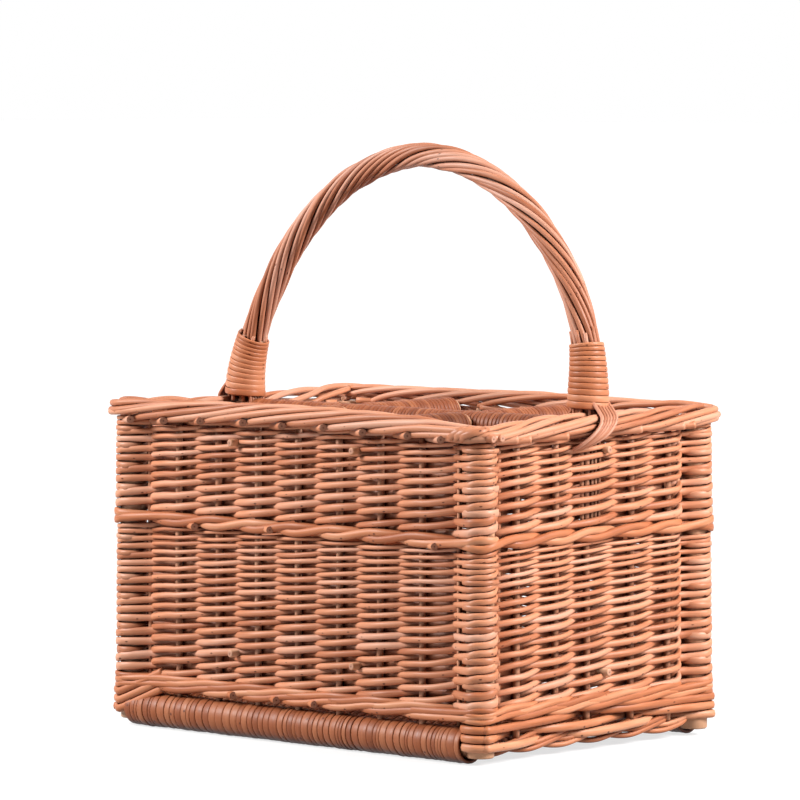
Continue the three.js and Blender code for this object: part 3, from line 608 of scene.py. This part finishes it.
# The handle's legs stand inside the middle stakes of the end walls, and inner strokes pass inside the legs.
# Along the wall, strokes turn there a third as far from the leg's middle as the stake stands.
station_names = sum([["post"] + wall for wall in wall_stakes], [])
at_leg = np.isin(station_names, ("stake_right_3", "stake_left_3"))
leg_wall = np.where(at_leg, np.abs(station[:, 0]) - (half_span - bow_radius) - stake_radius, 0)
leg_place = np.where(at_leg[:, None], station / (1, 3), station)
wall_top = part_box("upper_siding")[1].z
rods, short = siding("upper_siding", middle_wale_top, wall_top, steps=20, butt=siding_butt, tip=2.7 * mm,
                     short_wraps=4, place=leg_place, inner=leg_wall)
dress(rods, siding_skin, "siding", "upper_siding")
dress(short, wrap_skin, "siding")


# Foot rods
# Three stout rods close each end wall below the wale. They wrap round the feet of both posts and climb
# into the next wall.

wale_skin = willow("wale_rods", (142, 70, 36), (198, 120, 78), (230, 168, 130))
foot_rod = 2.8 * mm
foot_spacing = 6.1 * mm
foot_front = 12.4 * mm
foot_back = 15.5 * mm
climb_along = 36 * mm
climb_inwards = 5 * mm
climb_up = 16 * mm
foot_reach = post_radius + wrap_gap + 0.8 * foot_rod
# Angles round the near and the far post, and shares of the climb
near_turn = np.radians([-55, -20, 20, 55, 80])[:, None]
far_turn = np.radians([10, 35, 60, 85])[:, None]
climb = np.array([0.45, 1.0])[:, None]
spots = []
for k, foot_near, foot_far in ((1, foot_front, foot_back), (3, foot_back, foot_front)):
    following = (k + 1) % 4
    start, end = post_place[k], post_place[following]
    out, before, after = outward[k], outward[k - 1], outward[following]
    share = ((stake_place[k] - start) @ heading[k] / ((end - start) @ heading[k]))[:, None]
    for rod in range(3):
        behind = (np.arange(len(share)) + rod) % 3 == 1
        swing = np.where(behind, -1, 1)[:, None] * (stake_radius + 0.9 * foot_rod)
        plan = np.concatenate([
            start + foot_reach * (np.cos(near_turn) * before + np.sin(near_turn) * out),
            stake_place[k] + swing * out,
            end + foot_reach * (np.cos(far_turn) * out + np.sin(far_turn) * after),
            end + (foot_reach - climb_inwards * climb) * after + climb_along * climb * heading[following],
        ])
        level = np.concatenate([
            np.full(len(near_turn), foot_near),
            foot_near + share[:, 0] * (foot_far - foot_near) + chance.normal(0, 0.5 * mm, len(share)),
            np.full(len(far_turn), foot_far),
            foot_far + climb_up * climb[:, 0],
        ])
        spots.append(np.column_stack([plan, level + foot_spacing * rod]))
foot_rods = sweep("foot_rods", through(spots, 130), 0.8 * foot_rod, 1.06 * foot_rod, square=2.4)
dress(foot_rods, wale_skin, "wale")


# Bottom and middle wale
# Three rods are twisted round the walls together, each in front of two stakes and behind the third, to
# lock the courses. They start at a stake of the back wall. Their thick ends are cut off outside.

wale_start = 17


def wale(name, bottom, top, rounds, rod):
    """Three rods that circle the basket. At a station the rod in turn goes behind at the middle height, and
    the others lie in front, one below and one above. Round a post these two lie flat."""
    steps = rounds * stations
    strip = 1.6 * rod
    plan, flat = strokes(rod, strip, station, plain_wall)
    count = np.arange(steps + 1)
    spot = (wale_start + count) % stations
    phase = (wale_start + count - np.arange(3)[:, None]) % 3
    out = (phase > 0).astype(int)
    layer = (top - bottom) / rounds
    round_post, past_stake = np.choose(phase, [0, -0.25, 0.25]), np.choose(phase, [0.05, -0.2, 0.2])
    offset = np.where(is_post[spot], round_post, past_stake)
    height = bottom + layer * (0.5 + offset + (rounds - 1) * count / steps)
    height = height + chance.normal(0, 0.15 * mm, height.shape)
    where = np.broadcast_to(spot[:-1], (3, steps))
    line = plan[out[:, :-1], out[:, 1:], where].reshape(3, -1, 2)
    lie = flat[out[:, :-1], out[:, 1:], where].reshape(3, -1)
    within = ease(np.linspace(0, 1, stroke_steps, endpoint=False))
    z = (height[:, :-1, None] + np.diff(height, axis=1)[..., None] * within).reshape(3, -1)
    path = np.concatenate([line, z[..., None]], axis=-1)
    across = rod * (1 - lie) + strip / 2 * lie
    high = 1.08 * rod * (1 - lie) + 0.245 * layer * lie
    tone = np.clip(0.45 + 0.35 * np.sin(np.arange(path.shape[1]) / 37 + np.arange(3)[:, None] * 2.1), 0, 1)
    return sweep(name, path, across, high, square=2 + 1.2 * lie, tone=tone)


bottom_wale = wale("bottom_wale_rods", bottom_wale_low, bottom_wale_top, rounds=2, rod=2.55 * mm)
dress(bottom_wale, wale_skin, "wale", "bottom_wale")
middle_wale = wale("middle_wale_rods", middle_wale_low, middle_wale_top, rounds=1, rod=2.7 * mm)
dress(middle_wale, wale_skin, "wale", "middle_wale")
weathered_cut = sawn("weathered_cut", (206, 152, 126), (164, 110, 86), (92, 54, 38))
# Along the long walls from their middle and up, in millimetres
butt_places = np.array([(-56, 30), (-14, 30), (22.5, 30), (-94, 146), (-20, 148), (135, 146)])
# Along the wall, outwards from the stakes and up, in millimetres
butt_route = np.array([(-20, -3, 0.8), (-10, 3, 0.4), (-3, 6.6, 0), (0.5, 8.6, 0)])
outside = stake_place[0][0, 1] / mm - butt_route[:, 1]
spots = points(butt_places[:, :1] + butt_route[:, 0], outside, butt_places[:, 1:] + butt_route[:, 2])
spots = np.concatenate([spots, spots * (-1, -1, 1)]) * mm
butt_radius = 2.7 * mm
butts = sweep("wale_butts", through(spots, 16), butt_radius)
dress(butts, wale_skin, "wale", cut=weathered_cut)


# Dividers
# Upper rails wound with fine split willow, one along the basket and four half rails across, and a lower
# grid of plain sticks. Pegs hold the rails in the walls, and the sticks go through the weave.

divider_skin = willow("divider_strips", (96, 42, 18), (144, 76, 42), (186, 116, 76), 0.5, streaks=30,
                      relief=0.35)
divider_strip = 1.3 * mm
strip_width = 3.4 * mm
into_wall = 4.5 * mm
past_roll = 1.2 * mm
peg_radius = 2.6 * mm
peg_length = 24 * mm
peg_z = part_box("rim_border")[0].z - 14.4 * mm
# From the middle of the long rail and of a cross rail to their pegs, sideways
peg_aside = (7.2 * mm, 0)


def rail(name, winding, core, along, toward):
    """A wound rail along x (0) or y (1), with a peg through the wall at each end (-1 or 1) in toward."""
    low, high = (np.array(corner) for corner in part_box(winding))
    core_low, core_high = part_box(core)
    middle = (low + high) / 2
    radius = (high[2] - low[2]) / 2 - divider_strip
    start, end = middle.copy(), middle.copy()
    start[along] = low[along] - (into_wall if -1 in toward else 0)
    end[along] = high[along] + (into_wall if 1 in toward else 0)
    turns = int((end[along] - start[along]) / strip_width)
    roll = wound(name + "_strips", start, end, radius, divider_strip, turns,
                 uneven=0.3, shades=(0.1, 0.9), square=2.6, eased=3 * mm)
    dress(roll, divider_skin, "strip", winding)
    start[along] -= past_roll
    end[along] += past_roll
    stick = bar(name + "_stick", start, end, radius - 0.2 * mm)
    dress(stick, stick_wood, "core", core)
    for sign in toward:
        tip = middle.copy()
        tip[along] = core_high[along] if sign > 0 else core_low[along]
        tip[1 - along] += peg_aside[along]
        tip[2] = peg_z
        root = tip.copy()
        root[along] -= sign * peg_length
        peg = bar(f"{name}_peg_{'end' if sign > 0 else 'start'}", root, tip, peg_radius, sides=12)
        dress(peg, stick_wood, "core", cut=weathered_cut)


rail("long_rail", "divider_long_winding", "divider_long_rail", 0, (-1, 1))
for corner in corner_names:
    winding, core = "divider_cross_winding_" + corner, "divider_cross_rail_" + corner
    rail("cross_rail_" + corner, winding, core, 1, (1,) if corner.startswith("back") else (-1,))
for way, along in (("long", 0), ("cross_left", 1), ("cross_right", 1)):
    node = "lower_divider_" + way
    low, high = (np.array(corner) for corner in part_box(node))
    start, end = (low + high) / 2, (low + high) / 2
    start[along], end[along] = low[along], high[along]
    stick = bar(node + "_stick", start, end, peg_radius, sides=12)
    dress(stick, stick_wood, "stake", node, cut=weathered_cut)


# Rim border
# The stakes are laid down to the right and rolled: each comes out below the rim, climbs over three
# neighbours to the top and goes down inside. Below the roll, cut ends stick out.

border_low, border_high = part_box("rim_border")
border_rod = 2.5 * mm
border_half_depth = 7.8 * mm
corner_radius = 6 * mm
border_z = (border_low.z + border_high.z) / 2 + 0.2 * mm
border_inset = border_half_depth + border_rod - 1.2 * mm
half_x, half_y = border_high.x - border_inset, border_high.y - border_inset
long_run, short_run = 2 * (half_x - corner_radius), 2 * (half_y - corner_radius)
corner_run = corner_radius * np.pi / 2
run_ends = np.cumsum([0] + [long_run, corner_run, short_run, corner_run] * 2)
fine_run = np.linspace(0, run_ends[-1], 6001)
fine_turn = np.interp(fine_run, run_ends, np.array([0, 0, 1, 1, 2, 2, 3, 3, 4]) * np.pi / 2)
hop = fine_run[1]
between = (fine_turn[1:] + fine_turn[:-1]) / 2
fine_x = -half_x + corner_radius + running(np.cos(between)) * hop
fine_y = -half_y + running(np.sin(between)) * hop
# Rise of the rim in the middle of the front, right, back and left wall
wall_bow = np.array([2.0, -0.5, 1.0, -4.0]) * mm
stake_space = 38.9 * mm
press_reach = 44 * mm
press_depth = 3.6 * mm
press_flat = 0.35


def rim(run, out, up):
    """Points at a distance along the rim's centre line, and outwards and up from it. The line's heading is
    constant along the walls and turns evenly at the corners. Each wall's rim bows up or sags by a squared
    sine, and a bell curve presses it down and flat at the lashed corner."""
    run = np.mod(run, run_ends[-1])
    turn = np.interp(run, fine_run, fine_turn)
    x = np.interp(run, fine_run, fine_x) + out * np.sin(turn)
    y = np.interp(run, fine_run, fine_y) - out * np.cos(turn)
    share = np.interp(run, run_ends, [0, 1, 1, 2, 2, 3, 3, 4, 4])
    bow = wall_bow[np.minimum(share.astype(int), 3)] * np.sin(np.pi * share) ** 2
    pressed = np.exp(-((run - run_ends[1] - corner_run / 2) / press_reach) ** 2)
    return points(x, y, border_z + bow + up * (1 - press_flat * pressed) - press_depth * pressed)


def over_rim(start, knots, steps):
    """Smooth curves over the rim. Their knots are stake spaces from start, and millimetres out and up."""
    line = through(knots, steps)
    return rim(start + line[..., 0] * stake_space, line[..., 1] * mm, line[..., 2] * mm)


def run_of(places, wall):
    """Distance along the rim of places in plan on a wall."""
    starts = ((corner_radius - half_x, -half_y), (half_x, corner_radius - half_y),
              (half_x - corner_radius, half_y), (-half_x, half_y - corner_radius))
    return run_ends[2 * wall] + (places - np.array(starts[wall])) @ heading[wall]


bent = [run_of(np.vstack([stake_place[k], thin_place[2 * k:2 * k + 2]]), k) for k in range(4)]
bent = np.sort(np.concatenate(bent))
roll = np.array([[-0.45, -3, -7.5], [-0.1, 4.0, -6.2], [0.3, 7.2, -4.9], [1.2, 7.8, -0.9], [2.0, 6.6, 2.6],
                 [2.6, 2.6, 4.5], [3.2, -3.0, 4.3], [3.8, -7.0, 1.6], [4.3, -7.6, -2.0], [4.7, -5.5, -5.0]])
knots = roll + chance.normal(0, 1, (len(bent), len(roll), 3)) * (0.05, 0.3, 0.3)
path = over_rim(bent[:, None], knots, 64)
taper = border_rod * np.linspace(1.06, 0.84, path.shape[1]) * chance.uniform(0.92, 1.08, (len(bent), 1))
border_skin = willow("border_rods", (156, 82, 46), (210, 139, 102), (222, 170, 144))
border = sweep("border_rods", path, taper)
dress(border, border_skin, "border", "rim_border")

snag = np.array([[-0.75, -6, -8.5], [-0.45, 0, -8.2], [-0.2, 6.5, -7.4], [-0.05, 10.5, -7.0]])
knots = snag + chance.normal(0, 1, (len(bent), 1, 3)) * (0.04, 0.4, 0.4)
ends = sweep("border_ends", over_rim(bent[:, None], knots, 12), 2.9 * mm, 2.7 * mm)
dress(ends, border_skin, "border", cut=weathered_cut)

# Two thick ends stick out below the border, on the right wall beside the front corner
corner_butt_radius = 2.8 * mm
for k, y in ((1, -119.5 * mm), (2, -110.5 * mm)):
    root = (half_x - 22 * mm, y + 2 * mm, border_low.z + 1.6 * mm)
    tip = (half_x + 11.8 * mm, y, border_low.z - 0.4 * mm)
    butt = bar(f"corner_butt_{k}", root, tip, corner_butt_radius, sides=12)
    dress(butt, border_skin, "border", cut=weathered_cut)


# Corner lashing
# Three flat splits of willow hold the last rods of the border down at the front right corner. They come
# out below the rim, pass over it and end on its inner side.

near_corner = run_ends[1] + 0.15 * corner_run
lash = np.array([[-0.32, 2, -7.6], [-0.22, 9.0, -5.8], [-0.1, 10.6, -1.0],
                 [0.02, 8.6, 4.4], [0.1, 2.5, 7.6], [0.15, -4, 7.0]])
knots = lash + np.arange(3)[:, None, None] * (0.13, 0, 0) - (0.2, 0, 0)
path = over_rim(near_corner, knots, 24)
centre = over_rim(near_corner, knots * (1, 0, 0), 24)
lashing = sweep("corner_lashing", path, 2.3 * mm, 0.6 * mm, up=path - centre, square=3.5)
dress(lashing, wrap_skin, "strip")


# Handle
# A bow stick with a sleeve of twelve peeled rods twisted round it, in a leaning arch. Its legs go down
# inside the end walls and are woven in.

rope_low, rope_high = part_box("handle_rope")
arch_power = 1.88
lean = 13.5 * mm
lean_rise = 0.36
rope_radius = 8.9 * mm
arch_top = rope_high.z - rope_radius
arch_foot = rope_low.z
phi = np.pi * (1 - np.linspace(0, 1, 4001))
climb = np.sin(phi).clip(0) ** (2 / arch_power)
arch_x = half_span * np.sign(np.cos(phi)) * np.abs(np.cos(phi)) ** (2 / arch_power)
arch_x = arch_x + lean * climb ** 2 / (climb ** 2 + lean_rise ** 2)
arch_z = arch_foot + (arch_top - arch_foot) * climb
arch_run = running(np.hypot(np.diff(arch_x), np.diff(arch_z)))
arch_length = arch_run[-1]


def arch(run):
    """Point and outer normal of the handle's centre line, run metres from its left foot. The line is
    |x/a|^p + |z/b|^p = 1, leaning to the right above the feet and straight below them."""
    step = 0.5 * mm
    inside = np.clip(run, 0, arch_length)
    near = np.clip([inside - step, inside, inside + step], 0, arch_length)
    x, z = np.interp(near, arch_run, arch_x), np.interp(near, arch_run, arch_z)
    along_x, along_z = x[2] - x[0], z[2] - z[0]
    size = np.hypot(along_x, along_z)
    straight = np.minimum(run, 0) + np.minimum(arch_length - run, 0)
    return points(x[1], 0, z[1] + straight), points(-along_z / size, 0, along_x / size)


handle_skin = willow("handle_rods", (150, 82, 50), (196, 128, 96), (222, 172, 150))
leg_below = arch_foot - handle_low.z
run = np.linspace(-leg_below, arch_length + leg_below, 90)
bow = sweep("bow_stick", arch(run)[0][None], bow_radius, up=(0, 1, 0), sides=12)
dress(bow, stick_wood, "core", "handle_bow")

front = np.array((0.0, -1.0, 0.0))
strands = 12
strand_radius = 1.82 * mm
strands_below = 2 * mm
foot_swell = 0.8 * mm
# Slant of the strands in degrees
foot_slant, top_slant = 7, 16
run = np.linspace(-strands_below, arch_length + strands_below, 170)
point, outer = arch(run)
share = run / arch_length
way_over = np.pi * share.clip(0, 1)
slant = np.radians(foot_slant + (top_slant - foot_slant) * np.sin(way_over))
strand_ring = rope_radius - strand_radius + foot_swell * np.cos(way_over) ** 2
twist = running(np.tan(slant[1:]) / strand_ring[1:] * np.diff(run))
seat = 2 * np.pi * np.arange(strands) / strands + chance.normal(0, 0.05, strands)
angle = twist + seat[:, None] + 0.05 * np.sin(share * 9 + seat[:, None] * 3)
radial = np.cos(angle)[..., None] * front + np.sin(angle)[..., None] * outer
ring = strand_ring + chance.normal(0, 0.2 * mm, (strands, 1))
path = point + radial * ring[..., None]
size = strand_radius * chance.uniform(0.9, 1.08, (strands, 1))
rope = sweep("rope_strands", path, 1.06 * size, size, up=radial, square=2.1)
dress(rope, handle_skin, "handle", "handle_rope")


# Handle bindings and tails
# At the foot of each leg a strip is wound tight round the rods, wider towards the rim. The rods' own ends
# come out below it: outside they run over the border and tuck into the wall, inside they go straight down.

binding_skin = willow("binding_strips", (148, 76, 42), (198, 122, 82), (230, 168, 132), 0.4, streaks=20)
binding_turns = 13
binding_steps = 26
binding_length = 48.5 * mm
binding_strip = 1.7 * mm
binding_foot = {"left": -5.5 * mm, "right": -0.7 * mm}
# At the foot, at 0.3 of the length and at the top
binding_radii = np.array([14.3, 13.5, 11.1]) * mm
binding_inwards = 1.2 * mm
fillers = 9
filler_radius = 1.35 * mm
filler_foot = -6 * mm
# At the foot and at the top of the binding
filler_rings = (10.6 * mm, 9.3 * mm)
tails = 6
tail_stack = 1.2 * mm
spread = np.linspace(-1, 1, tails)[:, None]
# Outwards from the leg, along the wall and up, in millimetres
outer_route = np.array([[4, 0, 14], [9.5, 0, 7], [15, -0.5, 1.8], [19.8, -2, -3.5], [21.4, -6.5, -9],
                        [20.4, -13, -15], [15.5, -19.5, -20.5], [9.5, -24, -24]])
inner_route = np.array([[-3, 0, 10], [-8.5, 0, 4], [-12.2, 0, -3], [-12.6, 0, -12], [-9.5, 0, -22]])
# The outer tails close up over the last points of their route
outer_close = np.array([1, 1, 1, 1, 1, 1, 0.8, 0.5])
# Thin rods beside a leg, in line with the stakes of its wall
liner_places = np.array([(stake_place[1][2, 0] / mm, y) for y in (-11.5, -2.5, 1.5, 5.5)]) * mm


def leg(side, rise):
    """Point and outer normal at a distance up the left (-1) or right (1) leg of the handle."""
    return arch(rise if side < 0 else arch_length - rise)


def tail(name, side, route, steps, half_width, close, radius):
    """Rod ends side by side along a route from a leg. They spread by half_width times close to either side,
    and where close is under 1 they lie over one another too."""
    x = side * (half_span + route[:, 0] * mm)
    y = side * (route[:, 1] * mm + half_width * spread * close)
    z = arch_foot + route[:, 2] * mm + tail_stack * spread * (1 - close)
    return sweep(name, through(points(x, y, z), steps), radius, up=(side, 0, 0.3))


for side, name in ((-1, "left"), (1, "right")):
    turn = np.linspace(0, binding_turns - 1, (binding_turns - 1) * binding_steps + 1)
    shares = np.linspace(1.2, 0.62, binding_turns) * chance.uniform(0.93, 1.07, binding_turns)
    rise, width = (size * binding_length for size in spaced(turn, shares))
    rise = binding_foot[name] + rise
    point, outer = leg(side, rise)
    radius = np.interp(rise, binding_foot[name] + binding_length * np.array([0, 0.3, 1]), binding_radii)
    angle = 2 * np.pi * turn[:, None] + np.pi / 2
    radial = np.cos(angle) * front - side * np.sin(angle) * outer
    inward = np.interp(rise, [0, binding_length], [binding_inwards, 0])
    path = point + radial * radius[:, None] - inward[:, None] * np.array((side, 0, 0))
    tone = chance.uniform(0.2, 0.8, binding_turns)[np.floor(turn).astype(int)]
    binding = sweep("binding_strip_" + name, path[None], 0.5 * width, binding_strip / 2,
                    up=radial[None], sides=12, square=2.9, tone=tone)
    dress(binding, binding_skin, "strip", "handle_binding_" + name)

    about = 2 * np.pi * (np.arange(fillers) + chance.uniform(-0.2, 0.2, fillers)) / fillers
    about = about[:, None, None]
    top = binding_foot[name] + binding_length + chance.uniform(-2, 9, (fillers, 1)) * mm
    rise = filler_foot + np.linspace(0, 1, 12) * (top - filler_foot)
    point, outer = leg(side, rise)
    radius = np.interp(rise, [0, binding_length], filler_rings)
    path = point + (np.cos(about) * front + np.sin(about) * outer) * radius[..., None]
    stubs = sweep("binding_fillers_" + name, path, filler_radius, up=(0, 1, 0))
    dress(stubs, handle_skin, "handle")

    outer_tails = tail("tail_rods_" + name, side, outer_route, steps=40, half_width=7.4 * mm,
                       close=outer_close, radius=1.35 * mm)
    dress(outer_tails, handle_skin, "handle", "handle_tail_" + name)
    inner_tails = tail("inner_tails_" + name, side, inner_route, steps=24, half_width=6.3 * mm, close=1,
                       radius=1.3 * mm)
    dress(inner_tails, handle_skin, "handle")
    liners = uprights("leg_liners_" + name, side * liner_places, 1.4 * mm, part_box("upper_siding")[0].z,
                      stake_high.z)
    dress(liners, stake_skin, "stake")


# Studio
# A pale matt floor that keeps the basket's shadow, a white surround and two soft lamps. Floor and surround
# glow only where they are looked at, so they stay white and hardly light the basket.

def looked_at(tree):
    """The node that gives 1 for what the camera sees, straight, in a gloss or through glass, and else 0."""
    rays = add(tree, "LightPath").outputs
    seen = maths(tree, "MAXIMUM", rays["Is Camera Ray"], rays["Is Glossy Ray"])
    return maths(tree, "MAXIMUM", seen, rays["Is Transmission Ray"])


paint, tree, shader = principled("floor_paint")
floor_place = add(tree, "TexCoord").outputs["Object"]
far = add(tree, "VectorMath", {0: floor_place}, operation="LENGTH").outputs["Value"]
glow = maths(tree, "MULTIPLY", looked_at(tree), scaled(tree, far, 0.5, 3.0, 0.72, 1.0))
feed(tree, shader, {"Base Color": (0.3, 0.3, 0.3, 1), "Roughness": 0.9, "Emission Color": (1, 1, 1, 1),
                    "Emission Strength": glow})

floor_mesh = bpy.data.meshes.new("floor")
floor_mesh.from_pydata([(-30, -30, 0), (30, -30, 0), (30, 30, 0), (-30, 30, 0)], [], [(0, 1, 2, 3)])
floor = bpy.data.objects.new("floor", floor_mesh)
floor.data.materials.append(paint)
bpy.context.collection.objects.link(floor)
floor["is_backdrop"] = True

room_light = 0.012
world = bpy.data.worlds.new("studio")
bpy.context.scene.world = world
world.use_nodes = True
tree = world.node_tree
level = scaled(tree, looked_at(tree), 0.0, 1.0, room_light, 1.0)
feed(tree, tree.nodes["Background"], {"Color": (1, 1, 1, 1), "Strength": level})


def direction(azimuth, elevation):
    """Unit vector from angles in degrees. Azimuth 0 is in front of the basket, 90 at its right end."""
    a, e = np.radians([azimuth, elevation])
    return np.array((np.sin(a) * np.cos(e), -np.cos(a) * np.cos(e), np.sin(e)))


def hang(name, data, place, aim):
    """A lamp or a camera at a place, turned to what it aims at."""
    thing = bpy.data.objects.new(name, data)
    thing.location = place
    thing.rotation_mode = "QUATERNION"
    thing.rotation_quaternion = Vector(place - aim).to_track_quat("Z", "Y")
    bpy.context.collection.objects.link(thing)
    return thing


def lamp(name, azimuth, elevation, distance, size, watts):
    """A square soft lamp aimed at the middle of the basket."""
    data = bpy.data.lights.new(name, "AREA")
    data.size = size
    data.energy = watts
    hang(name, data, basket_middle + distance * direction(azimuth, elevation), basket_middle)


basket_middle = np.array((0, 0, 0.16))
lamp("key_lamp", azimuth=106, elevation=31, distance=2.2, size=0.8, watts=78)
lamp("fill_lamp", azimuth=-42, elevation=32, distance=2.4, size=0.9, watts=77)

# Camera at the photograph's angle: 43 degrees to the right of the front, 5 degrees up, a long lens. It aims
# above the middle of the basket, which stands low in the picture.
azimuth = 42.87
elevation = 5.36
distance = 3.788
aim_left = 0.0082
aim_above = 0.1175
back = direction(azimuth, elevation)
right = direction(azimuth + 90, 0)
pivot = np.array((0, 0, 0.1158))
camera_data = bpy.data.cameras.new("camera")
camera_data.sensor_width = 36
camera_data.lens = 241
camera_data.clip_end = 100
bpy.context.scene.camera = hang("camera", camera_data, pivot + distance * back,
                                pivot - aim_left * right + aim_above * np.cross(back, right))
bpy.context.scene.view_settings.view_transform = "Standard"

low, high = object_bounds()
